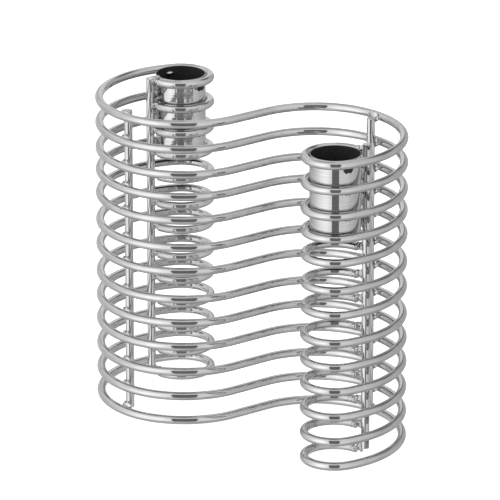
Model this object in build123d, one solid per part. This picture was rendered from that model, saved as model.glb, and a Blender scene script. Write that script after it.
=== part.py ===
from build123d import *

import os
from math import cos, radians, sin

# Spiral candle holder: a stack of flat wires, each bent to an S. Both ends of a wire curl into a
# ring, the rings stand in two columns, and a candle cup sits in the top of each column. Four
# upright posts carry the wires: the ring ends are welded to the two inner posts, and the outer
# sweeps of the S to the two outer posts.
# Millimetres and degrees. +Z is up, the cups stand along X, and the origin is on the table in the
# middle of the stack.

# Round stock
WIRE_DIAMETER = 4.0
POST_DIAMETER = 4.0

# Stack of wires: the even pitch, and how far each wire was welded off its even place, top wire first
WIRE_PITCH = 12.28
WIRE_SHIFTS = (0.0, 0.0, -0.2, 1.2, 1.8, 0.5, 0.8, -0.7, -0.3, 0.1, -0.3, -0.15, 0.0)

# Plan of a wire: a straight run across the middle, then two bends, a ring and a tail at either end
MIDDLE_RUN = 20.4
MIDDLE_HEADING = 277.2
LEFT_FIRST_RADIUS = 37.8
LEFT_FIRST_TURN = 84.6
LEFT_SECOND_RADIUS = 46.8
LEFT_SECOND_TURN = 118.0
LEFT_RING_TURN = 239.0
RIGHT_FIRST_RADIUS = 36.9
RIGHT_FIRST_TURN = 76.4
RIGHT_SECOND_RADIUS = 47.8
RIGHT_SECOND_TURN = 114.0
RIGHT_RING_TURN = 252.0
TAIL_LENGTH = 1.0

# Candle cups: a tube closed by a disc under it, and how far the rim stands above the top wire
CUP_BORE = 23.0
CUP_WALL = 0.5
CUP_HEIGHT = 40.0
RIM_ROUND = 0.2
LEFT_RIM_RISE = -0.4
RIGHT_RIM_RISE = -0.5
FLOOR_THICKNESS = 1.0
RING_CLEARANCE = 0.2

# Posts: how far past a ring's end and outside its line the inner ones stand, how far round the second
# bend the outer ones stand, and how far each ends above the top wire
INNER_POST_TURN = 17.0
INNER_POST_OFFSET = 2.35
LEFT_POST_TURN = 2.7
RIGHT_POST_TURN = 10.0
LEFT_INNER_TIP = -0.4
RIGHT_INNER_TIP = 1.6
LEFT_OUTER_TIP = 0.2
RIGHT_OUTER_TIP = -2.4
POST_FOOT = 3.0
TIP_ROUND = 0.4

# Welds: the gap left between wire and outer post, how far each kind of bead stands out, how far the lowest
# is kept off the table and how far a bead's middle lies under the softened end of a post
ROOT_GAP = 0.1
END_WELD_BULGE = 0.2
CROSS_WELD_RADIUS = 1.9
TACK_RADIUS = 1.1
TACK_STANDOFF = 0.3
LEFT_TACK_TURNS = (30.0, 149.0)
RIGHT_TACK_TURNS = (2.0, 150.0)
WELD_LIFT = 0.3
WELD_DEPTH = 0.2

# Sizes that follow from the ones above
wire_radius = WIRE_DIAMETER / 2
post_radius = POST_DIAMETER / 2
cup_radius = CUP_BORE / 2 + CUP_WALL
ring_radius = cup_radius + RING_CLEARANCE + wire_radius
wire_count = len(WIRE_SHIFTS)
heights = [
    wire_radius + (wire_count - 1 - index) * WIRE_PITCH + shift
    for index, shift in enumerate(WIRE_SHIFTS)
]
stack_top = heights[0] + wire_radius
tube_height = CUP_HEIGHT - FLOOR_THICKNESS
rim_round = min(RIM_ROUND, 0.4 * CUP_WALL)
from_below = (Align.CENTER, Align.CENTER, Align.MIN)


def polar(length, heading):
    return Vector(length * cos(radians(heading)), length * sin(radians(heading)))


def scroll(start, heading, first_radius, first_turn, second_radius, second_turn, ring_turn):
    """One end of the S, from the middle run to the tail, turning the same way throughout."""
    first = JernArc(start, polar(1, heading), first_radius, -first_turn)
    second = JernArc(first @ 1, first % 1, second_radius, -second_turn)
    ring = JernArc(second @ 1, second % 1, ring_radius, -ring_turn)
    tail = Line(ring @ 1, (ring @ 1) + (ring % 1) * TAIL_LENGTH)
    return first, second, ring, tail


def plan(centre):
    """The S about the middle of its straight run: left scroll, straight run, right scroll."""
    half_run = polar(MIDDLE_RUN / 2, MIDDLE_HEADING)
    left = scroll(
        centre + half_run, MIDDLE_HEADING,
        LEFT_FIRST_RADIUS, LEFT_FIRST_TURN, LEFT_SECOND_RADIUS, LEFT_SECOND_TURN, LEFT_RING_TURN,
    )
    right = scroll(
        centre - half_run, MIDDLE_HEADING + 180,
        RIGHT_FIRST_RADIUS, RIGHT_FIRST_TURN, RIGHT_SECOND_RADIUS, RIGHT_SECOND_TURN, RIGHT_RING_TURN,
    )
    return left, Line(centre + half_run, centre - half_run), right


def s_wire(left, run, right):
    """The round wire along the whole S, at height zero."""
    path = Wire([*reversed(left), run, *right])
    section = Plane(path @ 0, z_dir=path % 0) * Circle(wire_radius)
    return sweep(section, path=path)


def post(place, tip):
    """A round upright with a softened upper end."""
    length = stack_top + tip - POST_FOOT
    bar = Cylinder(post_radius, length, align=from_below)
    bar = fillet(bar.edges().group_by(Axis.Z)[-1], TIP_ROUND)
    return Pos(place.X, place.Y, POST_FOOT) * bar


def inner_post_place(ends):
    """Past the end of the ring and a little outside its line, so that a weld fills the gap."""
    ring = ends[2]
    spoke = ((ring @ 1) - ring.arc_center).normalized().rotate(Axis.Z, -INNER_POST_TURN)
    return ring.arc_center + spoke * (ring_radius + INNER_POST_OFFSET)


def crossing(ends, turn, second_turn):
    """Where the wire passes the outer post: a point on its axis and the way to the post."""
    second = ends[1]
    point = second @ (turn / second_turn)
    return point, (second.arc_center - point).normalized()


def outer_post_place(point, inward):
    return point + inward * (wire_radius + ROOT_GAP + post_radius)


def cup_tube(place, rim):
    """An open tube with a softened rim, whose upper end is at the height rim."""
    tube = Cylinder(cup_radius, tube_height, align=from_below)
    tube -= Cylinder(CUP_BORE / 2, tube_height, align=from_below)
    tube = fillet(tube.edges().group_by(Axis.Z)[-1], rim_round)
    return Pos(place.X, place.Y, rim - tube_height) * tube


def cup_floor(place, rim):
    """The disc that closes a cup, as wide as the tube and welded to its lower edge."""
    disc = Cylinder(cup_radius, FLOOR_THICKNESS, align=from_below)
    return Pos(place.X, place.Y, rim - CUP_HEIGHT) * disc


def bead(place, height, towards, radius, neighbours):
    """A drop of weld metal, its poles in the two pieces that it joins, kept off the table."""
    drop = Plane((place.X, place.Y, height), z_dir=towards) * Sphere(radius)
    for piece in neighbours:
        drop -= piece
    above_table = Box(4 * radius, 4 * radius, 2 * stack_top, align=from_below)
    return drop & Pos(place.X, place.Y, WELD_LIFT) * above_table


def end_welds(ends, upright, wires):
    """One bead at each ring's tail, in the gap between its cut end and the inner post."""
    tail_end = ends[3] @ 1
    across = inner_post_place(ends) - tail_end
    gap = across.length - post_radius
    place = tail_end + across.normalized() * (gap / 2)
    radius = max(wire_radius, gap / 2) + END_WELD_BULGE
    return [
        bead(place, z, across, radius, [wire, upright]) for z, wire in zip(heights, wires)
    ]


def cross_welds(point, inward, upright, tip, wires):
    """One bead where each wire passes the outer post, or under the end of a post that is shorter."""
    place = point + inward * (wire_radius + ROOT_GAP / 2)
    highest = stack_top + tip - TIP_ROUND - WELD_DEPTH
    return [
        bead(place, min(z, highest), inward, CROSS_WELD_RADIUS, [wire, upright])
        for z, wire in zip(heights, wires)
    ]


def tack_welds(ends, ring_turn, tack_turns, rim, wires):
    """Small beads that hold the cup, in the corner under each ring that lies beside its tube."""
    ring = ends[2]
    axis = ring.arc_center
    cup_body = Pos(axis.X, axis.Y, 0) * Cylinder(cup_radius, 3 * stack_top)
    reach = (wire_radius + TACK_STANDOFF) * sin(radians(45))
    lowest = rim - tube_height + reach + TACK_RADIUS
    tacks = []
    for z, wire in zip(heights, wires):
        if z < lowest:
            continue
        for turn in tack_turns:
            point = ring @ (turn / ring_turn)
            inward = (axis - point).normalized()
            place = point + inward * reach
            tacks.append(bead(place, z - reach, inward, TACK_RADIUS, [wire, cup_body]))
    return tacks


def solids_of(pieces):
    return Compound([solid for piece in pieces for solid in piece.solids()])


# The plan is drawn once about its straight run, then again with its outline centred on the origin
left, run, right = plan(Vector(0, 0))
outline = Wire([*reversed(left), run, *right]).bounding_box()
left, run, right = plan(-outline.center())

flat_wire = s_wire(left, run, right)
wires = [Pos(0, 0, z) * flat_wire for z in heights]

left_point, left_inward = crossing(left, LEFT_POST_TURN, LEFT_SECOND_TURN)
right_point, right_inward = crossing(right, RIGHT_POST_TURN, RIGHT_SECOND_TURN)
inner_post_left = post(inner_post_place(left), LEFT_INNER_TIP)
inner_post_right = post(inner_post_place(right), RIGHT_INNER_TIP)
outer_post_left = post(outer_post_place(left_point, left_inward), LEFT_OUTER_TIP)
outer_post_right = post(outer_post_place(right_point, right_inward), RIGHT_OUTER_TIP)

left_cup = left[2].arc_center
right_cup = right[2].arc_center
left_rim = stack_top + LEFT_RIM_RISE
right_rim = stack_top + RIGHT_RIM_RISE

nodes = {f"s_wire_{index:02d}": wire for index, wire in enumerate(wires, start=1)}
nodes["inner_post_left"] = inner_post_left
nodes["inner_post_right"] = inner_post_right
nodes["outer_post_left"] = outer_post_left
nodes["outer_post_right"] = outer_post_right
nodes["candle_cup_left"] = cup_tube(left_cup, left_rim)
nodes["candle_cup_right"] = cup_tube(right_cup, right_rim)
nodes["cup_floor_left"] = cup_floor(left_cup, left_rim)
nodes["cup_floor_right"] = cup_floor(right_cup, right_rim)
nodes["ring_end_welds_left"] = solids_of(end_welds(left, inner_post_left, wires))
nodes["ring_end_welds_right"] = solids_of(end_welds(right, inner_post_right, wires))
nodes["crossing_welds_left"] = solids_of(
    cross_welds(left_point, left_inward, outer_post_left, LEFT_OUTER_TIP, wires)
)
nodes["crossing_welds_right"] = solids_of(
    cross_welds(right_point, right_inward, outer_post_right, RIGHT_OUTER_TIP, wires)
)
nodes["cup_tacks_left"] = solids_of(
    tack_welds(left, LEFT_RING_TURN, LEFT_TACK_TURNS, left_rim, wires)
)
nodes["cup_tacks_right"] = solids_of(
    tack_welds(right, RIGHT_RING_TURN, RIGHT_TACK_TURNS, right_rim, wires)
)

os.makedirs("parts", exist_ok=True)
for name, shape in nodes.items():
    export_step(shape, f"parts/{name}.step")

print("cup axes", left_cup, right_cup, "rims", left_rim, right_rim)
print("wire length", sum(edge.length for edge in (*left, run, *right)), "volume", flat_wire.volume)
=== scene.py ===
# %% [markdown]
# # A spiral candle holder in polished chrome
# The real object is thirteen round wires, each bent to a flat S and stacked one above the other. Both
# ends of a wire curl into a ring, four posts hold the stack together, and a thin cup for a candle sits
# in the top of each column of rings. This lesson takes the solid model as its frame, bends the wires again
# in finer steps, models the hand-made welds and gives every piece its finish.

# %% The frame
import bpy
from math import atan2, cos, pi, radians, sin
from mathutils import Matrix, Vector


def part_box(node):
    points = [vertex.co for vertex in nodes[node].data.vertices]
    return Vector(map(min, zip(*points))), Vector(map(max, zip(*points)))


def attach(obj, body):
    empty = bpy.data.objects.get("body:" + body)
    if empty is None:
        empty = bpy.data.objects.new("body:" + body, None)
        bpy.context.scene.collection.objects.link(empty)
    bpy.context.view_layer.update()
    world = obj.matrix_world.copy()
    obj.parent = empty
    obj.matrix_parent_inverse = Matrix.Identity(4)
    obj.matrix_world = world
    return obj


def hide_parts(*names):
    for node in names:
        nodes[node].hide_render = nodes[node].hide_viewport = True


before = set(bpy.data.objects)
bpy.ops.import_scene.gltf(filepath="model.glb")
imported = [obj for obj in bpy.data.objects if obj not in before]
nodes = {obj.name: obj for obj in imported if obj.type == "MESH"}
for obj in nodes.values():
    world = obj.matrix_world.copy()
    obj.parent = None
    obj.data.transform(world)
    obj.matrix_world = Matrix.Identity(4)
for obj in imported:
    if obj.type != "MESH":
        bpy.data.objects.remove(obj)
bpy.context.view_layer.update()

# %% [markdown]
# The photograph was taken from about three metres away with a long lens, so the S of each wire keeps
# nearly the same size from front to back. A camera close by with a short lens would spread the near
# cup. The camera stands at the photograph's angle and looks a little downwards.

# %% The camera
CAMERA_AZIMUTH = radians(59.42)
CAMERA_ELEVATION = radians(19.19)
CAMERA_DISTANCE = 2.943
CAMERA_TILT = radians(19.078)
CAMERA_LENS = 448.0
AIM = Vector((-0.00101, 0.00026, 0.07646))

towards_camera = Vector((
    cos(CAMERA_ELEVATION) * sin(CAMERA_AZIMUTH),
    -cos(CAMERA_ELEVATION) * cos(CAMERA_AZIMUTH),
    sin(CAMERA_ELEVATION),
))
bpy.ops.object.camera_add(
    location=AIM + CAMERA_DISTANCE * towards_camera,
    rotation=(pi / 2 - CAMERA_TILT, 0.0, CAMERA_AZIMUTH),
)
camera = bpy.context.object
camera.name = "long_lens_camera"
camera.data.lens = CAMERA_LENS
bpy.context.scene.camera = camera
print("camera at", tuple(camera.location))

# %% [markdown]
# The sky and the finishes are built from shader nodes. A few helpers keep the cells below short: one adds
# a node, one feeds a socket, and three make the steps that come back all the time, which are a calculation,
# a soft step and a mix of two values.

# %% Helpers for shader nodes
def add_node(tree, kind, **settings):
    node = tree.nodes.new(kind)
    for name, value in settings.items():
        setattr(node, name, value)
    return node


def feed(tree, node, socket, value):
    """Link a socket to value, or set it where value is a plain number or colour."""
    if isinstance(value, bpy.types.NodeSocket):
        tree.links.new(value, node.inputs[socket])
    else:
        node.inputs[socket].default_value = value


def calculate(tree, operation, first, second=0.0, third=0.0):
    node = add_node(tree, "ShaderNodeMath", operation=operation)
    for socket, value in enumerate((first, second, third)):
        feed(tree, node, socket, value)
    return node.outputs[0]


def fade(tree, value, start, end, low=0.0, high=1.0):
    """Low before start, high after end, and a smooth step between."""
    node = add_node(tree, "ShaderNodeMapRange", interpolation_type="SMOOTHSTEP")
    for socket, number in enumerate((value, start, end, low, high)):
        feed(tree, node, socket, number)
    return node.outputs[0]


def mixed(tree, share, first, second):
    """First where share is 0, second where it is 1."""
    node = add_node(tree, "ShaderNodeMix", data_type="FLOAT")
    feed(tree, node, 0, share)
    feed(tree, node, 2, first)
    feed(tree, node, 3, second)
    return node.outputs[0]


print("helpers: add_node, feed, calculate, fade, mixed")

# %% [markdown]
# Polished chrome has no colour of its own: it shows the room. Small metalware is photographed inside a
# tent of white cloth, lit from outside, and the camera looks in through a slit. The slit is the dark
# dash on every wire, the bright left wall is the white band beside it. The room could be built from
# cards and lamps, but a painted sky is simpler and gives no noise. The direction of a ray is turned into
# an azimuth, measured from the camera, and an elevation.

# %% Directions in the light tent
world = bpy.data.worlds.new("light_tent")
world.use_nodes = True
bpy.context.scene.world = world
tent = world.node_tree
direction = add_node(tent, "ShaderNodeTexCoord").outputs["Generated"]
turned = add_node(tent, "ShaderNodeMapping")
feed(tent, turned, "Vector", direction)
turned.inputs["Rotation"].default_value = (0.0, 0.0, -CAMERA_AZIMUTH)
across = add_node(tent, "ShaderNodeSeparateXYZ")
feed(tent, across, 0, turned.outputs[0])
backwards = calculate(tent, "MULTIPLY", across.outputs["Y"], -1.0)
azimuth = calculate(tent, "ARCTAN2", across.outputs["X"], backwards)
elevation = calculate(tent, "ARCSINE", across.outputs["Z"])
print("directions:", len(tent.nodes), "nodes")

# %% [markdown]
# The walls of the tent are brightest on the left, where the lamp stands outside the cloth. A colour ramp
# round the azimuth holds their brightness. Overhead they fade into the ceiling and below into the table.

# %% Walls, ceiling and table of the tent
WALL_BRIGHTNESS = {
    -180: 0.52, -143: 0.58, -125: 0.58, -112: 0.65, -98: 0.79, -83: 0.97, -68: 1.16, -50: 1.30,
    -36: 1.26, -20: 0.99, 20: 0.83, 40: 0.80, 55: 0.76, 66: 0.66, 84: 0.62, 98: 0.54, 112: 0.51,
    145: 0.42, 165: 0.44, 180: 0.52,
}
BRIGHTEST = 1.6
CEILING_BRIGHTNESS = 0.66
CEILING_START = radians(20)
CEILING_END = radians(80)
TABLE_BRIGHTNESS = 0.22
TABLE_SHARE_OF_WALL = 0.30
TABLE_START = radians(-5)
TABLE_END = radians(-50)

walls = add_node(tent, "ShaderNodeValToRGB")
feed(tent, walls, 0, calculate(tent, "MULTIPLY_ADD", azimuth, 0.5 / pi, 0.5))
stops = walls.color_ramp.elements
while len(stops) < len(WALL_BRIGHTNESS):
    stops.new(0.5)
for stop, (degrees, brightness) in zip(stops, WALL_BRIGHTNESS.items()):
    stop.position = degrees / 360.0 + 0.5
    stop.color = (brightness / BRIGHTEST,) * 3 + (1.0,)
light = calculate(tent, "MULTIPLY", walls.outputs["Color"], BRIGHTEST)
below = calculate(tent, "MULTIPLY_ADD", light, TABLE_SHARE_OF_WALL, TABLE_BRIGHTNESS)
above = mixed(tent, fade(tent, elevation, CEILING_START, CEILING_END), light, CEILING_BRIGHTNESS)
light = mixed(tent, fade(tent, elevation, TABLE_START, TABLE_END), above, below)
print("wall stops:", len(stops))

# %% [markdown]
# Cloth is never even. A sheen lies on it far to the left, there is a darker gap above that, and behind the
# object on the right a fold hangs in shade. Each is a patch with soft edges: two azimuths and two heights,
# given as the angles where an edge starts and ends.

# %% Sheen, gap and fold in the cloth
SHEEN_PATCH = ((-165, -150), (-95, -115), (8, 30), (56, 48))
SHEEN_BRIGHTENING = 0.25
GAP_PATCH = ((-200, -190), (-110, -150), (36, 50), (82, 68))
GAP_DARKENING = 0.35
FOLD_PATCH = ((100, 125), (178, 168), (28, 37), (56, 48))
FOLD_DARKENING = 0.68
FOLD_SLANT_START = 152.0


def patch(height, edges, change):
    """Scale the light by 1 + change inside a patch of the cloth."""
    share = 1.0
    for angle, edge in zip((azimuth, azimuth, height, height), edges):
        step = fade(tent, angle, *(radians(degrees) for degrees in edge))
        share = calculate(tent, "MULTIPLY", share, step)
    return calculate(tent, "MULTIPLY", light, fade(tent, share, 0.0, 1.0, 1.0, 1.0 + change))


light = patch(elevation, SHEEN_PATCH, SHEEN_BRIGHTENING)
light = patch(elevation, GAP_PATCH, -GAP_DARKENING)
slant = calculate(tent, "MAXIMUM", calculate(tent, "SUBTRACT", azimuth, radians(FOLD_SLANT_START)), 0.0)
fold_height = calculate(tent, "ADD", elevation, slant)
light = patch(fold_height, FOLD_PATCH, -FOLD_DARKENING)
print("patches done:", len(tent.nodes), "nodes")

# %% [markdown]
# The slit for the camera comes last, because it is dark whatever the cloth beside it does. It is a little
# wider at its upper end. The Standard view keeps the greys as they are painted.

# %% The slit in the tent
SLIT_BRIGHTNESS = 0.15
SLIT_HALF_WIDTH = radians(16.4)
SLIT_TAPER = 0.075
SLIT_BOTTOM = radians(-28.0)
SLIT_TOP = radians(53.0)
SLIT_EDGE = radians(1.5)
TENT_STRENGTH = 1.31

slit_side = calculate(tent, "MULTIPLY_ADD", elevation, SLIT_TAPER, SLIT_HALF_WIDTH)
past_side = calculate(tent, "SUBTRACT", calculate(tent, "ABSOLUTE", azimuth), slit_side)
slit = fade(tent, past_side, SLIT_EDGE, 0.0)
slit = calculate(tent, "MULTIPLY", slit, fade(tent, elevation, SLIT_BOTTOM, SLIT_BOTTOM + SLIT_EDGE))
slit = calculate(tent, "MULTIPLY", slit, fade(tent, elevation, SLIT_TOP + SLIT_EDGE, SLIT_TOP))
light = mixed(tent, slit, light, SLIT_BRIGHTNESS)
feed(tent, tent.nodes["Background"], "Color", light)
feed(tent, tent.nodes["Background"], "Strength", TENT_STRENGTH)
bpy.context.scene.view_settings.view_transform = "Standard"
print("tent nodes:", len(tent.nodes))

# %% [markdown]
# The table is a white sheet that runs out of the picture on all sides. It glows a little, as a light
# table does, so that only a faint shade is left where the lowest wire touches it. It is kept out of
# the reflections, because the tent already holds the grey of the table that the chrome shows.

# %% The table
FLOOR_SIZE = 8.0
FLOOR_GLOW = 0.75
PAPER_WHITE = 0.9
PAPER_ROUGHNESS = 0.9

bpy.ops.object.select_all(action="DESELECT")
bpy.ops.mesh.primitive_plane_add(size=FLOOR_SIZE)
floor = bpy.context.object
floor.name = "white_table"
floor.visible_glossy = False
paper = bpy.data.materials.new("white_paper")
paper.use_nodes = True
sheet = paper.node_tree.nodes["Principled BSDF"]
sheet.inputs["Base Color"].default_value = (PAPER_WHITE, PAPER_WHITE, PAPER_WHITE, 1.0)
sheet.inputs["Roughness"].default_value = PAPER_ROUGHNESS
sheet.inputs["Emission Color"].default_value = (1.0, 1.0, 1.0, 1.0)
sheet.inputs["Emission Strength"].default_value = FLOOR_GLOW
floor.data.materials.append(paper)
print("table:", FLOOR_SIZE, "metres square")

# %% [markdown]
# The backdrop behind the object is a sheet of bright card that ends close beside it, so a wire shows the
# card's edge as a sharp border between light and shade. The painted tent is far away and can't give that
# border its place, so the card is a real plane. It glows, and only reflections see it.

# %% The card behind
CARD_DISTANCE = 0.30
CARD_LEFT = -0.125
CARD_RIGHT = 0.075
CARD_TOP = 0.35
CARD_GLOW = 0.86
CARD_FOOT_SHARE = 0.20
CARD_FOOT_HEIGHT = 0.14
CARD_SOFT_EDGE = 0.04
CARD_EDGE_SHARE = 0.55

screen_right = Vector((cos(CAMERA_AZIMUTH), sin(CAMERA_AZIMUTH), 0.0))
away = Vector((-sin(CAMERA_AZIMUTH), cos(CAMERA_AZIMUTH), 0.0))
middle = (CARD_LEFT + CARD_RIGHT) / 2.0 * screen_right + CARD_DISTANCE * away
bpy.ops.object.select_all(action="DESELECT")
bpy.ops.mesh.primitive_plane_add(
    size=1.0, location=middle + Vector((0.0, 0.0, CARD_TOP / 2.0)),
    rotation=(pi / 2, 0.0, CAMERA_AZIMUTH),
)
card = bpy.context.object
card.name = "backdrop_card"
card.scale = (CARD_RIGHT - CARD_LEFT, CARD_TOP, 1.0)
bpy.ops.object.transform_apply(location=True, rotation=True, scale=True)
card.visible_camera = False
card.visible_diffuse = False
card.visible_shadow = False
glow = bpy.data.materials.new("glowing_card")
glow.use_nodes = True
sheet = glow.node_tree.nodes["Principled BSDF"]
sheet.inputs["Base Color"].default_value = (0.0, 0.0, 0.0, 1.0)
sheet.inputs["Emission Color"].default_value = (1.0, 1.0, 1.0, 1.0)
tree = glow.node_tree
where = add_node(tree, "ShaderNodeTexCoord").outputs["Object"]
sideways = add_node(tree, "ShaderNodeVectorMath", operation="DOT_PRODUCT")
feed(tree, sideways, 0, where)
feed(tree, sideways, 1, screen_right)
upright = add_node(tree, "ShaderNodeSeparateXYZ")
feed(tree, upright, 0, where)
foot_glow = CARD_FOOT_SHARE * CARD_GLOW
foot = fade(tree, upright.outputs["Z"], 0.0, CARD_FOOT_HEIGHT, foot_glow, CARD_GLOW)
edge_end = CARD_LEFT + CARD_SOFT_EDGE
edge = fade(tree, sideways.outputs["Value"], CARD_LEFT, edge_end, CARD_EDGE_SHARE, 1.0)
feed(tree, sheet, "Emission Strength", calculate(tree, "MULTIPLY", foot, edge))
card.data.materials.append(glow)
print("card behind:", tuple(middle))

# %% [markdown]
# Chrome plate is a metal with very little roughness. A perfect mirror would look like a computer
# picture, so the plate varies: its brightness drifts a little, polishing has left it cloudy in patches,
# and here and there the plate has a pit where the steel under it was not clean.

# %% Chrome plate
STREAK_WIDTH = 0.0006
STREAK_DEPTH = 0.000012
STREAK_DRAW = 0.04
CLOUD_DRIFT = (0.95, 1.04)
STREAK_DRIFT = (0.93, 1.05)
NOISE_RANGE = (0.3, 0.7)
CLOUDY_RANGE = (0.35, 0.75)
PIT_EDGE = (0.05, 0.03)
PIT_BRIGHTNESS = 0.3
PIT_ROUGHNESS = 0.4
BLUE_TINGE = 1.01


def plate(
    name, tone, roughness, grain=(1.0, 1.0, 1.0), cloud_size=0.006, pit_spacing=0.009, pit_share=0.25,
):
    """Polished chrome of a grey tone, with drifting brightness, polishing streaks and sparse pits."""
    material = bpy.data.materials.new(name)
    material.use_nodes = True
    tree = material.node_tree
    shader = tree.nodes["Principled BSDF"]
    shader.inputs["Metallic"].default_value = 1.0
    place = add_node(tree, "ShaderNodeTexCoord").outputs["Object"]

    clouds = add_node(tree, "ShaderNodeTexNoise")
    feed(tree, clouds, "Vector", place)
    feed(tree, clouds, "Scale", 1.0 / cloud_size)
    feed(tree, clouds, "Detail", 3.0)

    drawn = add_node(tree, "ShaderNodeMapping")
    feed(tree, drawn, "Vector", place)
    drawn.inputs["Scale"].default_value = grain
    streaks = add_node(tree, "ShaderNodeTexNoise")
    feed(tree, streaks, "Vector", drawn.outputs[0])
    feed(tree, streaks, "Scale", 1.0 / STREAK_WIDTH)
    feed(tree, streaks, "Detail", 2.0)

    cells = add_node(tree, "ShaderNodeTexVoronoi")
    feed(tree, cells, "Vector", place)
    feed(tree, cells, "Scale", 1.0 / pit_spacing)
    chosen = calculate(tree, "LESS_THAN", cells.outputs["Color"], pit_share)
    pits = calculate(tree, "MULTIPLY", chosen, fade(tree, cells.outputs["Distance"], *PIT_EDGE))

    drift = fade(tree, clouds.outputs["Fac"], *NOISE_RANGE, *CLOUD_DRIFT)
    streak_drift = fade(tree, streaks.outputs["Fac"], *NOISE_RANGE, *STREAK_DRIFT)
    drift = calculate(tree, "MULTIPLY", drift, streak_drift)
    bright = calculate(tree, "MULTIPLY", drift, fade(tree, pits, 0.0, 1.0, 1.0, PIT_BRIGHTNESS))
    colour = add_node(tree, "ShaderNodeMix", data_type="RGBA", blend_type="MULTIPLY")
    feed(tree, colour, "Factor", 1.0)
    feed(tree, colour, 6, (tone, tone, tone * BLUE_TINGE, 1.0))
    feed(tree, colour, 7, bright)
    feed(tree, shader, "Base Color", colour.outputs[2])

    rough = fade(tree, clouds.outputs["Fac"], *CLOUDY_RANGE, roughness, roughness * 2.0)
    feed(tree, shader, "Roughness", calculate(tree, "MULTIPLY_ADD", pits, PIT_ROUGHNESS, rough))
    ripple = add_node(tree, "ShaderNodeBump")
    feed(tree, ripple, "Height", streaks.outputs["Fac"])
    feed(tree, ripple, "Strength", 1.0)
    feed(tree, ripple, "Distance", STREAK_DEPTH)
    feed(tree, shader, "Normal", ripple.outputs[0])
    return material


print("polishing streaks:", STREAK_WIDTH, "metres wide")

# %% [markdown]
# Polishing streaks run level along the wires and cups and upright along the posts. A weld is rougher, and
# its clouds and pits are finer. One function makes all three plates, so they differ only where the real
# finishes do.

# %% The plates of wires, posts and welds
CHROME_TONE = 0.57

along_wire = (STREAK_DRAW, STREAK_DRAW, 1.0)
along_post = (1.0, 1.0, STREAK_DRAW)
wire_plate = plate("polished_wire_chrome", CHROME_TONE, roughness=0.03, grain=along_wire)
post_plate = plate("polished_post_chrome", CHROME_TONE, roughness=0.04, grain=along_post)
weld_plate = plate(
    "plated_weld", CHROME_TONE, roughness=0.12, cloud_size=0.001, pit_spacing=0.002, pit_share=0.3,
)
print("plates:", wire_plate.name, post_plate.name, weld_plate.name)

# %% [markdown]
# A cup is bright outside and nearly black inside, where the plate did not reach and candles have left
# soot. One finish can do both: the distance of a point from the cup's axis says on which side of the
# thin wall it lies.

# %% Cup finish
CUP_RADIUS = 0.012
CUP_WALL = 0.0005
SOOT_GRAIN = 700.0
SOOT_DARK = (0.010, 0.010, 0.010, 1.0)
SOOT_LIGHT = (0.030, 0.029, 0.028, 1.0)
SOOT_RANGE = (0.35, 0.75)
SOOT_ROUGHNESS = 0.7


def middle_of(node):
    low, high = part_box(node)
    return (low + high) / 2.0


def cup_plate(name, axis, wall_radius):
    """Chrome outside wall_radius, soot-black inside it, about an upright axis."""
    material = plate(name, CHROME_TONE, roughness=0.03, grain=along_wire, cloud_size=0.008)
    tree = material.node_tree
    shader = tree.nodes["Principled BSDF"]
    bright = shader.inputs["Base Color"].links[0].from_socket
    smooth = shader.inputs["Roughness"].links[0].from_socket
    centred = add_node(tree, "ShaderNodeMapping")
    feed(tree, centred, "Vector", add_node(tree, "ShaderNodeTexCoord").outputs["Object"])
    centred.inputs["Location"].default_value = (-axis.x, -axis.y, 0.0)
    centred.inputs["Scale"].default_value = (1.0, 1.0, 0.0)
    reach = add_node(tree, "ShaderNodeVectorMath", operation="LENGTH")
    feed(tree, reach, 0, centred.outputs[0])
    inside = calculate(tree, "LESS_THAN", reach.outputs["Value"], wall_radius)

    dust = add_node(tree, "ShaderNodeTexNoise")
    feed(tree, dust, "Vector", centred.inputs["Vector"].links[0].from_socket)
    feed(tree, dust, "Scale", SOOT_GRAIN)
    feed(tree, dust, "Detail", 6.0)
    soot = add_node(tree, "ShaderNodeValToRGB")
    feed(tree, soot, 0, dust.outputs["Fac"])
    for element, position, shade in zip(soot.color_ramp.elements, SOOT_RANGE, (SOOT_DARK, SOOT_LIGHT)):
        element.position = position
        element.color = shade
    colour = add_node(tree, "ShaderNodeMix", data_type="RGBA")
    feed(tree, colour, 0, inside)
    feed(tree, colour, 6, bright)
    feed(tree, colour, 7, soot.outputs["Color"])
    feed(tree, shader, "Base Color", colour.outputs[2])
    feed(tree, shader, "Roughness", mixed(tree, inside, smooth, SOOT_ROUGHNESS))
    feed(tree, shader, "Metallic", calculate(tree, "SUBTRACT", 1.0, inside))
    return material


cup_plates = {
    side: cup_plate(f"{side}_cup_chrome", middle_of(f"candle_cup_{side}"), CUP_RADIUS - CUP_WALL / 2)
    for side in ("left", "right")
}
print("cup middles:", [tuple(middle_of(f"candle_cup_{side}")) for side in cup_plates])

# %% [markdown]
# The posts, the cups and the cup floors have the right shape already. They stay as they are and only get
# their finish, which goes into the material slots that they came with.

# %% Dressing the posts and cups
def dress(node, material):
    for slot in nodes[node].material_slots:
        slot.material = material


for side in ("left", "right"):
    dress(f"inner_post_{side}", post_plate)
    dress(f"outer_post_{side}", post_plate)
    dress(f"candle_cup_{side}", cup_plates[side])
    dress(f"cup_floor_{side}", cup_plates[side])
print("dressed the posts, the cups and their floors")

# %% [markdown]
# A wire is a straight rod that was bent round pins. The solid model has these wires, but its triangles are
# coarse for a mirror, and the reflections of the neighbouring wires break up on them. So one wire is
# modelled again with finer steps. The open end of the wire is extruded along a straight stretch and spun
# about the middle of a bend, which is how the rod was bent. A curve with a bevel would do as well, but it
# would only come near to these arcs.

# %% How a wire is bent
STEP = 2.0


def ahead(heading):
    return Vector((cos(radians(heading)), sin(radians(heading)), 0.0))


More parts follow.
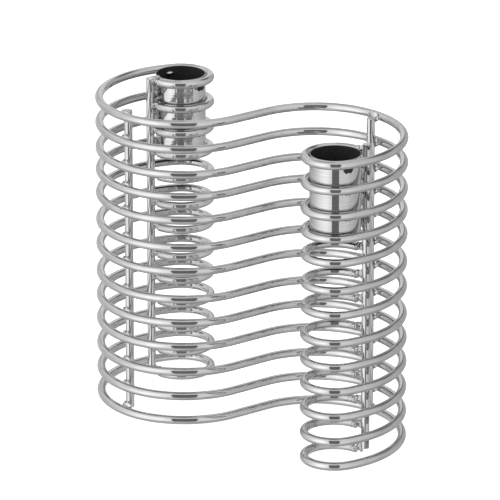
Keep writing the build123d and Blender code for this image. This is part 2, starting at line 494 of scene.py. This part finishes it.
def run_straight(place, heading, length, growth=1.0):
    """Extrude the open end of the wire, and widen or narrow it where growth isn't 1."""
    bpy.ops.mesh.extrude_region_move(TRANSFORM_OT_translate={"value": ahead(heading) * length})
    if growth != 1.0:
        bpy.ops.transform.resize(value=(growth, growth, growth))
    return place + ahead(heading) * length


def bend(place, heading, radius, turn):
    """Spin the open end of the wire round the pin of a bend. A turn above zero goes to the left."""
    side = 90.0 if turn > 0.0 else -90.0
    pin = place + ahead(heading + side) * radius
    steps = round(abs(turn) / STEP)
    bpy.ops.mesh.spin(steps=steps, angle=-radians(turn), center=pin, axis=(0.0, 0.0, 1.0))
    return pin + ahead(heading - side + turn) * radius, heading + turn


print("a bend is spun in steps of", STEP, "degrees")

# %% [markdown]
# The wire starts as a filled circle, the cut end of the rod. A short tail, a ring and two wide bends
# follow, then a straight run across the middle, and the same again the other way round. A bend is given by
# its radius and its turn. Both cut ends are rounded off a little.

# %% One bent wire
WIRE_RADIUS = 0.002
SECTION_POINTS = 32
SMOOTH_ANGLE = radians(50.0)
TAIL_LENGTH = 0.001
END_ROUND = 0.0005
END_SHARE = 0.72
START_HEADING = 15.6
LEFT_BENDS = ((0.0142, 239.0), (0.0468, 118.0), (0.0378, 84.6))
MIDDLE_RUN = 0.0204
RIGHT_BENDS = ((0.0369, -76.4), (0.0478, -114.0), (0.0142, -252.0))

place = Vector()
heading = START_HEADING
bpy.ops.object.select_all(action="DESELECT")
bpy.ops.mesh.primitive_circle_add(
    vertices=SECTION_POINTS, radius=WIRE_RADIUS * END_SHARE, fill_type="NGON", location=place,
    rotation=(pi / 2, 0.0, radians(heading) - pi / 2),
)
pattern_wire = bpy.context.object
pattern_wire.name = "pattern_wire"
bpy.ops.object.transform_apply(location=True, rotation=True, scale=True)
bpy.ops.object.mode_set(mode="EDIT")
bpy.ops.mesh.select_all(action="SELECT")
place = run_straight(place, heading, END_ROUND, 1.0 / END_SHARE)
place = run_straight(place, heading, TAIL_LENGTH - END_ROUND)
for radius, turn in LEFT_BENDS:
    place, heading = bend(place, heading, radius, turn)
place = run_straight(place, heading, MIDDLE_RUN)
for radius, turn in RIGHT_BENDS:
    place, heading = bend(place, heading, radius, turn)
place = run_straight(place, heading, TAIL_LENGTH - END_ROUND)
place = run_straight(place, heading, END_ROUND, END_SHARE)
bpy.ops.mesh.select_all(action="SELECT")
bpy.ops.mesh.normals_make_consistent(inside=False)
bpy.ops.object.mode_set(mode="OBJECT")
bpy.ops.object.shade_smooth_by_angle(angle=SMOOTH_ANGLE)
pattern_wire.data.materials.append(wire_plate)
print("one wire:", len(pattern_wire.data.polygons), "faces, ends at heading", round(heading, 1))

# %% [markdown]
# The wire was drawn from an arbitrary start. Each copy is moved so that the middle of its box lies on the
# middle of the solid wire that it stands for, and the move is applied to its mesh.

# %% Thirteen wires
wire_names = sorted(name for name in nodes if name.startswith("s_wire"))
wire_heights = [middle_of(name).z for name in wire_names]
pattern_middle = sum((Vector(corner) for corner in pattern_wire.bound_box), Vector()) / 8.0
for name in wire_names:
    bpy.ops.object.select_all(action="DESELECT")
    pattern_wire.select_set(True)
    bpy.context.view_layer.objects.active = pattern_wire
    bpy.ops.object.duplicate(linked=False)
    wire = bpy.context.object
    wire.name = name.replace("s_wire", "bent_wire")
    wire.location = middle_of(name) - pattern_middle
    bpy.ops.object.transform_apply(location=True, rotation=True, scale=True)
    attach(wire, "root")
    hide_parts(name)
bpy.data.objects.remove(pattern_wire)
print("wires from top to bottom:", [round(height, 4) for height in wire_heights])

# %% [markdown]
# A weld bead is a drop of metal with lumps where the rod was dipped. Here and there gas has escaped and
# left a crater. Its hollow is painted black as shade, so a second, dull black finish of painted shade is
# needed for them.

# %% The painted shade of a crater
SHADE_GRAIN = 4000.0
SHADE_DARK = (0.006, 0.006, 0.006, 1.0)
SHADE_LIGHT = (0.020, 0.019, 0.018, 1.0)
SHADE_ROUGHNESS = 0.8

# A dull near-black finish that paints the shade inside the craters' hollows.
painted_shade_black = bpy.data.materials.new("painted_crater_shade")
painted_shade_black.use_nodes = True
crater_tree = painted_shade_black.node_tree
shade_noise = add_node(crater_tree, "ShaderNodeTexNoise")
feed(crater_tree, shade_noise, "Vector", add_node(crater_tree, "ShaderNodeTexCoord").outputs["Object"])
feed(crater_tree, shade_noise, "Scale", SHADE_GRAIN)
shade_ramp = add_node(crater_tree, "ShaderNodeValToRGB")
feed(crater_tree, shade_ramp, 0, shade_noise.outputs["Fac"])
shade_ramp.color_ramp.elements[0].color = SHADE_DARK
shade_ramp.color_ramp.elements[1].color = SHADE_LIGHT
crater_shader = crater_tree.nodes["Principled BSDF"]
feed(crater_tree, crater_shader, "Base Color", shade_ramp.outputs["Color"])
crater_shader.inputs["Roughness"].default_value = SHADE_ROUGHNESS
print("crater finish:", painted_shade_black.name)

# %% [markdown]
# The beads could be sculpted, but a few edit-mode steps are enough: a sphere is drawn out to the bead's
# three half sizes, lumps are pulled out and hollows pushed in with proportional editing, and the faces at a
# crater are inset, pushed in and painted black as shade. The same steps make every kind of bead, so they
# are functions here. The sizes of beads are in millimetres.

# %% How a bead is started
MILLIMETRE = 0.001
SPHERE_SUBDIVISIONS = 5


def choose(obj, kind, chosen):
    """Go to edit mode with only these vertices or faces selected."""
    bpy.ops.object.mode_set(mode="EDIT")
    bpy.ops.mesh.select_mode(type=kind)
    bpy.ops.mesh.select_all(action="DESELECT")
    bpy.ops.object.mode_set(mode="OBJECT")
    elements = obj.data.polygons if kind == "FACE" else obj.data.vertices
    for index in chosen:
        elements[index].select = True
    bpy.ops.object.mode_set(mode="EDIT")


def surface_point(obj, direction):
    """The vertex that lies most nearly in a direction from the middle."""
    return max(obj.data.vertices, key=lambda vertex: vertex.co.normalized().dot(direction))


def coat(bead):
    """The plate, and after it the painted shade of the craters."""
    bead.data.materials.append(weld_plate)
    bead.data.materials.append(painted_shade_black)


def paint_shade(bead):
    """Give the selected faces the black of painted shade, as in a crater."""
    bead.active_material_index = 1
    bpy.ops.object.material_slot_assign()


def start_bead(name, half_sizes):
    bpy.ops.object.select_all(action="DESELECT")
    bpy.ops.mesh.primitive_ico_sphere_add(subdivisions=SPHERE_SUBDIVISIONS, radius=MILLIMETRE)
    bead = bpy.context.object
    bead.name = name
    bpy.ops.object.mode_set(mode="EDIT")
    bpy.ops.mesh.select_all(action="SELECT")
    bpy.ops.transform.resize(value=half_sizes)
    bpy.ops.object.mode_set(mode="OBJECT")
    coat(bead)
    return bead


print("finishes of a bead:", weld_plate.name, painted_shade_black.name)

# %% [markdown]
# Lumps and hollows come from proportional editing, which moves the vertex that lies nearest to a direction
# and takes its surroundings along. A crater is real geometry as well as a spot of painted shade: the inset
# leaves a plated lip round its mouth, and it narrows towards its bottom.

# %% Lumps and craters
CRATER_LIP = 0.15
CRATER_TAPER = 0.75


def pull_lump(bead, direction, height, reach):
    """Move the surface outwards over a round patch, or inwards where height is below zero."""
    outwards = Vector(direction).normalized()
    choose(bead, "VERT", [surface_point(bead, outwards).index])
    bpy.ops.transform.translate(
        value=outwards * height * MILLIMETRE, use_proportional_edit=True,
        proportional_edit_falloff="SMOOTH", proportional_size=reach * MILLIMETRE,
    )
    bpy.ops.object.mode_set(mode="OBJECT")


def press_crater(bead, direction, width, depth):
    """Inset a round patch of faces, paint it black as shade and push it in."""
    inwards = -Vector(direction).normalized()
    middle = surface_point(bead, -inwards).co.copy()
    mouth = [
        face.index for face in bead.data.polygons
        if (face.center - middle).length < width * MILLIMETRE
    ]
    choose(bead, "FACE", mouth)
    bpy.ops.mesh.inset(thickness=width * CRATER_LIP * MILLIMETRE)
    paint_shade(bead)
    bpy.ops.transform.translate(value=inwards * depth * MILLIMETRE)
    bpy.ops.transform.resize(value=(CRATER_TAPER, CRATER_TAPER, CRATER_TAPER))
    bpy.ops.object.mode_set(mode="OBJECT")


def shape_bead(bead, lumps, craters=()):
    """Pull every lump (direction, height, reach), then press every crater (direction, width, depth)."""
    for direction, height, reach in lumps:
        pull_lump(bead, direction, height, reach)
    for direction, width, depth in craters:
        press_crater(bead, direction, width, depth)
    print(bead.name, len(bead.data.polygons), "faces")


print("a crater narrows to", CRATER_TAPER, "of its mouth")

# %% [markdown]
# Every ring stops a little before the inner post, and a bead fills the gap. It is a neck of metal: as
# thick as the wire where it covers the cut end, thinner in the middle, and wide again where it has wetted
# the post. A circle is drawn out along X with a new width at every step, and a Subdivision modifier makes
# it smooth. X points towards the post and Z points up. Two craters lie on one side, one on the other.

# %% The bead at a ring's end
NECK = ((-2.0, 1.75), (-1.4, 2.15), (-0.7, 1.9), (0.0, 1.7), (0.7, 2.0), (1.4, 2.5), (1.9, 2.2))
NECK_POINTS = 12
NECK_SUBDIVISIONS = 3

bpy.ops.object.select_all(action="DESELECT")
bpy.ops.mesh.primitive_circle_add(
    vertices=NECK_POINTS, radius=NECK[0][1] * MILLIMETRE, fill_type="NGON",
    location=(NECK[0][0] * MILLIMETRE, 0.0, 0.0), rotation=(0.0, pi / 2, 0.0),
)
ring_bead = bpy.context.object
ring_bead.name = "ring_bead"
bpy.ops.object.transform_apply(location=True, rotation=True, scale=True)
bpy.ops.object.mode_set(mode="EDIT")
bpy.ops.mesh.select_all(action="SELECT")
for (start, width), (end, next_width) in zip(NECK, NECK[1:]):
    run_straight(Vector(), 0.0, (end - start) * MILLIMETRE, next_width / width)
bpy.ops.mesh.select_all(action="SELECT")
bpy.ops.mesh.normals_make_consistent(inside=False)
bpy.ops.object.mode_set(mode="OBJECT")
smoothing = ring_bead.modifiers.new("smooth", "SUBSURF")
smoothing.levels = NECK_SUBDIVISIONS
smoothing.render_levels = NECK_SUBDIVISIONS
bpy.ops.object.modifier_apply(modifier="smooth")
coat(ring_bead)
shape_bead(ring_bead, (
    ((-0.2, 0.6, 0.8), 0.35, 1.1), ((0.5, 0.6, -0.6), 0.30, 1.0), ((0.3, -0.7, 0.6), 0.35, 1.1),
    ((0.0, -0.5, -0.9), 0.30, 1.1), ((0.3, 0.2, 1.0), 0.45, 1.2), ((-0.3, 0.3, -1.0), -0.25, 1.0),
), (
    ((0.10, 0.98, -0.15), 0.55, 0.8), ((-0.25, 0.85, 0.50), 0.34, 0.5), ((0.1, -0.95, 0.1), 0.45, 0.6),
))

# %% [markdown]
# Where the welder lingered, a plain drop was left: between a post and a cup, and over the end of a post.
# The drop is a sphere drawn out upright, with lumps all round and two small craters. One pattern is enough,
# because a cap is the same drop pressed flat.

# %% A drop of weld metal
weld_drop = start_bead("weld_drop", (1.6, 1.6, 2.4))
shape_bead(weld_drop, (
    ((0.3, 0.5, 0.9), 0.4, 1.2), ((-0.4, 0.8, 0.1), 0.35, 1.1), ((0.5, 0.7, -0.6), 0.35, 1.1),
    ((-0.4, -0.8, 0.5), 0.35, 1.2), ((0.3, -0.8, -0.4), 0.35, 1.2), ((-0.7, 0.3, -0.5), -0.3, 1.0),
    ((0.8, 0.2, 0.2), -0.3, 1.0),
), (
    ((-0.10, 0.95, -0.30), 0.45, 0.6), ((-0.2, -0.9, 0.1), 0.40, 0.6),
))

# %% [markdown]
# Where a wire passes an outer post, the metal has run into the corners round the place where they touch,
# as a flat cake that shows above, below and beside the wire. X points from the post to the wire and Y
# along it.

# %% The fillet at an outer post
crossing_fillet = start_bead("crossing_fillet", (1.15, 3.1, 2.7))
shape_bead(crossing_fillet, (
    ((0.0, 0.4, 1.0), 0.45, 0.9), ((0.0, -0.5, 0.9), 0.4, 0.9), ((0.0, 0.9, 0.3), 0.4, 1.0),
    ((0.0, -0.9, -0.3), 0.4, 1.0), ((0.0, 0.3, -1.0), 0.35, 0.9), ((0.0, -0.4, -0.9), 0.3, 0.9),
    ((0.0, 1.0, -0.3), -0.4, 0.8), ((0.0, -1.0, 0.35), -0.4, 0.8), ((0.1, -0.05, 1.0), -0.5, 0.8),
), (
    ((-0.30, -0.92, 0.05), 0.50, 0.6), ((0.12, -0.25, 1.0), 0.40, 0.5), ((0.10, 0.5, 0.85), 0.34, 0.5),
    ((-0.30, 0.9, -0.1), 0.40, 0.5),
))

# %% [markdown]
# The cups were tacked to the rings with short dabs in the corner under the wire. Their outer and lower side
# is painted black as shade. X points away from the cup's axis and Y along the ring.

# %% The tack at a cup
SHADED_SIDE = Vector((0.8, 0.0, -0.6))
SHADED_SHARE = 0.45

cup_tack = start_bead("cup_tack", (1.0, 2.1, 1.05))
shape_bead(cup_tack, (
    ((0.1, 0.7, -0.7), 0.35, 0.9), ((0.2, -0.6, -0.8), 0.3, 0.9), ((0.9, 0.1, -0.5), 0.25, 0.8),
    ((0.5, 0.3, -0.9), -0.3, 0.7),
))
# The faces that look outwards and down are painted black as shade.
shaded_faces = [
    face.index for face in cup_tack.data.polygons if face.normal.dot(SHADED_SIDE) > SHADED_SHARE
]
choose(cup_tack, "FACE", shaded_faces)
paint_shade(cup_tack)
bpy.ops.object.mode_set(mode="OBJECT")
print("black faces of a tack:", len(shaded_faces))

# %% [markdown]
# The beads along a post were laid by one hand, so they are alike but never the same. Modelling each of
# them would take long, and linked copies would share one mesh, which can't be roughened bead by bead. So
# every bead is a full copy, rolled and stretched a little differently from its neighbours.

# %% Copying beads
ROLLS = (4, 18, -12, 10, -20, 14, 2, -16, 20, -6, 12, -14, 6)
STRETCHES = (1.10, 1.04, 1.05, 1.0, 1.06, 0.95, 1.03, 1.08, 0.97, 1.04, 0.95, 1.06, 1.0)


def heading_of(direction):
    return atan2(direction.y, direction.x)


def level(vector):
    """The vector's horizontal direction."""
    return Vector((vector.x, vector.y, 0.0)).normalized()


def copy_bead(bead, place, heading, roll=0.0, pitch=0.0, size=(1.0, 1.0, 1.0)):
    """A copy of a bead with its own mesh, turned so that its X axis points along heading."""
    bpy.ops.object.select_all(action="DESELECT")
    bead.select_set(True)
    bpy.context.view_layer.objects.active = bead
    bpy.ops.object.duplicate(linked=False)
    copy = bpy.context.object
    copy.location = place
    copy.rotation_euler = (radians(roll), radians(pitch), heading)
    copy.scale = size
    return copy


print("rolls and stretches:", list(zip(ROLLS, STRETCHES)))

# %% [markdown]
# The copies along a post are joined into one piece, which stands for the node of the solid model. Weld
# metal is also uneven at a scale too small for lumps. It could be sculpted, but a Displace modifier that
# reads the place in space roughens all the beads in one go, each in its own way.

# %% Finishing beads
ROUGHNESS_SIZE = 0.0012
ROUGHNESS_HEIGHT = 0.00016
ROUGHNESS_DEPTH = 2

rough_metal = bpy.data.textures.new("rough_weld", "CLOUDS")
rough_metal.noise_scale = ROUGHNESS_SIZE
rough_metal.noise_depth = ROUGHNESS_DEPTH


def finish_beads(name, copies, node):
    """Join the copies into one piece, roughen it and let it stand for a node."""
    bpy.ops.object.select_all(action="DESELECT")
    for copy in copies:
        copy.select_set(True)
    bpy.context.view_layer.objects.active = copies[0]
    bpy.ops.object.join()
    piece = bpy.context.object
    piece.name = name
    bpy.ops.object.transform_apply(location=True, rotation=True, scale=True)
    bpy.ops.object.mode_set(mode="EDIT")
    bpy.ops.mesh.select_all(action="SELECT")
    bpy.ops.mesh.normals_make_consistent(inside=False)
    bpy.ops.object.mode_set(mode="OBJECT")
    displace = piece.modifiers.new("roughness", "DISPLACE")
    displace.texture = rough_metal
    displace.texture_coords = "GLOBAL"
    displace.mid_level = 0.5
    displace.strength = ROUGHNESS_HEIGHT
    bpy.ops.object.modifier_apply(modifier="roughness")
    bpy.ops.object.shade_smooth()
    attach(piece, "root")
    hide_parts(node)
    print(name, len(piece.data.polygons), "faces")


print("rough metal:", rough_metal.name)

# %% [markdown]
# Along the inner posts, each bead sits a little above the middle of its wire, because the rod came from
# above. The beads of the right post are mirrored, so that their craters face the same way. Beside the cups
# the metal has run down between post and cup, drop upon drop, from one ring to the next. On the left post
# the first bead has also run over the post's end. The lowest beads are kept off the table.

# %% Beads along the inner posts
POST_RADIUS = 0.002
LOWEST_BEAD = 0.0033
NECK_TO_POST = 0.0009
BEAD_LIFT = {"left": 0.0004, "right": 0.0006}
BEAD_HEIGHT = {"left": 0.92, "right": 1.10}
RUN_COUNT = 2
RUN_DROPS = (
    (0.22, 4, (1.0, 0.95, 0.9)), (0.48, -40, (0.85, 1.05, 1.0)), (0.76, 25, (1.05, 0.9, 0.95)),
)
MOUND_BACK = 0.0016
MOUND_HEIGHT = 0.1512
MOUND_PITCH = 14.0
MOUND_SIZE = (2.2, 1.15, 0.42)

for side, facing, mirror in (("left", 0.0, 1.0), ("right", pi, -1.0)):
    post_middle = middle_of(f"inner_post_{side}")
    towards_post = level(post_middle - middle_of(f"ring_end_welds_{side}"))
    heading = heading_of(towards_post)
    copies = []
    for height, roll, stretch in zip(wire_heights, ROLLS, STRETCHES):
        place = post_middle - towards_post * (POST_RADIUS + NECK_TO_POST)
        place.z = max(height + BEAD_LIFT[side], LOWEST_BEAD)
        size = (1.0, mirror * stretch, BEAD_HEIGHT[side] / stretch)
        copies.append(copy_bead(ring_bead, place, heading, roll, size=size))
    cup = middle_of(f"candle_cup_{side}")
    towards_cup = level(cup - post_middle)
    crevice = (post_middle + towards_cup * POST_RADIUS + cup - towards_cup * CUP_RADIUS) / 2.0
    for upper, lower in zip(wire_heights[:RUN_COUNT], wire_heights[1:]):
        for share, turn, size in RUN_DROPS:
            place = Vector((crevice.x, crevice.y, upper + share * (lower - upper)))
            copies.append(copy_bead(weld_drop, place, heading + facing, turn, size=size))
    if side == "left":
        mound = post_middle - towards_post * MOUND_BACK
        mound.z = MOUND_HEIGHT
        copies.append(copy_bead(weld_drop, mound, heading, pitch=MOUND_PITCH, size=MOUND_SIZE))
    finish_beads(f"ring_end_beads_{side}", copies, f"ring_end_welds_{side}")

# %% [markdown]
# Along the outer posts, a flat drop also caps the post, whose end lies just above the top wire on the left
# and just under it on the right.

# %% Fillets along the outer posts
CONTACT = 0.00205
CAP_OUT = 0.0008
CAP_DROP = 0.0004
CAP_SIZE = (1.5, 1.25, 0.28)

for side in ("left", "right"):
    post_middle = middle_of(f"outer_post_{side}")
    outwards = level(middle_of(f"crossing_welds_{side}") - post_middle)
    post_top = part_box(f"outer_post_{side}")[1].z
    heading = heading_of(outwards)
    copies = []
    for height, roll, stretch in zip(wire_heights, ROLLS, STRETCHES):
        place = post_middle + outwards * CONTACT
        place.z = max(height, LOWEST_BEAD)
        size = (1.0, stretch, 1.0 / stretch)
        copies.append(copy_bead(crossing_fillet, place, heading, roll / 2.0, size=size))
    cap = post_middle + outwards * CAP_OUT
    cap.z = post_top - CAP_DROP
    copies.append(copy_bead(weld_drop, cap, heading, size=CAP_SIZE))
    finish_beads(f"crossing_fillets_{side}", copies, f"crossing_welds_{side}")

# %% [markdown]
# The tacks under the rings hold the cups. Their places could be typed in, but the solid model has them: a
# copy of its node is merged and separated into loose parts, and the middle of each part is one tack.

# %% Where the tacks are
MERGE_DISTANCE = 0.000001


def loose_middles(node):
    """The middles of the separate lumps in a node."""
    bpy.ops.object.select_all(action="DESELECT")
    nodes[node].select_set(True)
    bpy.context.view_layer.objects.active = nodes[node]
    bpy.ops.object.duplicate(linked=False)
    bpy.ops.object.mode_set(mode="EDIT")
    bpy.ops.mesh.select_all(action="SELECT")
    bpy.ops.mesh.remove_doubles(threshold=MERGE_DISTANCE)
    bpy.ops.mesh.separate(type="LOOSE")
    bpy.ops.object.mode_set(mode="OBJECT")
    lumps = list(bpy.context.selected_objects)
    middles = [sum((Vector(corner) for corner in lump.bound_box), Vector()) / 8.0 for lump in lumps]
    for lump in lumps:
        bpy.data.objects.remove(lump)
    return sorted(middles, key=lambda place: (round(place.z, 4), place.x))


tack_places = {side: loose_middles(f"cup_tacks_{side}") for side in ("left", "right")}
print("tacks:", {side: len(places) for side, places in tack_places.items()})

# %% [markdown]
# The tacks under the top ring are heavier and hang lower than the others. In the left cup a drop of metal
# has come through the wall and shows inside, near the rim.

# %% Tacks at the cups
HEAVY_TACK_DROP = 0.0009
HEAVY_TACK_OUT = 0.0004
HEAVY_TACK_SIZE = (1.1, 1.25, 1.6)
NUB_HEADING = radians(177.0)
NUB_DEPTH = 0.0034
NUB_PITCH = 20.0
NUB_SIZE = (1.1, 0.95, 1.15)

for side, places in tack_places.items():
    axis = middle_of(f"candle_cup_{side}")
    copies = []
    top_tack = places[-1].z
    for place, stretch in zip(places, STRETCHES):
        outwards = level(place - axis)
        size = (1.0, stretch, 1.0)
        if place.z > top_tack - MILLIMETRE:
            place += HEAVY_TACK_OUT * outwards - Vector((0.0, 0.0, HEAVY_TACK_DROP))
            size = HEAVY_TACK_SIZE
        copies.append(copy_bead(cup_tack, place, heading_of(outwards), size=size))
    if side == "left":
        nub = axis + (CUP_RADIUS - CUP_WALL) * Vector((cos(NUB_HEADING), sin(NUB_HEADING), 0.0))
        nub.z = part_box("candle_cup_left")[1].z - NUB_DEPTH
        copies.append(copy_bead(cup_tack, nub, NUB_HEADING + pi, pitch=NUB_PITCH, size=NUB_SIZE))
    finish_beads(f"cup_tack_welds_{side}", copies, f"cup_tacks_{side}")

# %% [markdown]
# The first beads have served as patterns and go.

# %% The patterns go
for pattern in (ring_bead, weld_drop, crossing_fillet, cup_tack):
    bpy.data.objects.remove(pattern)
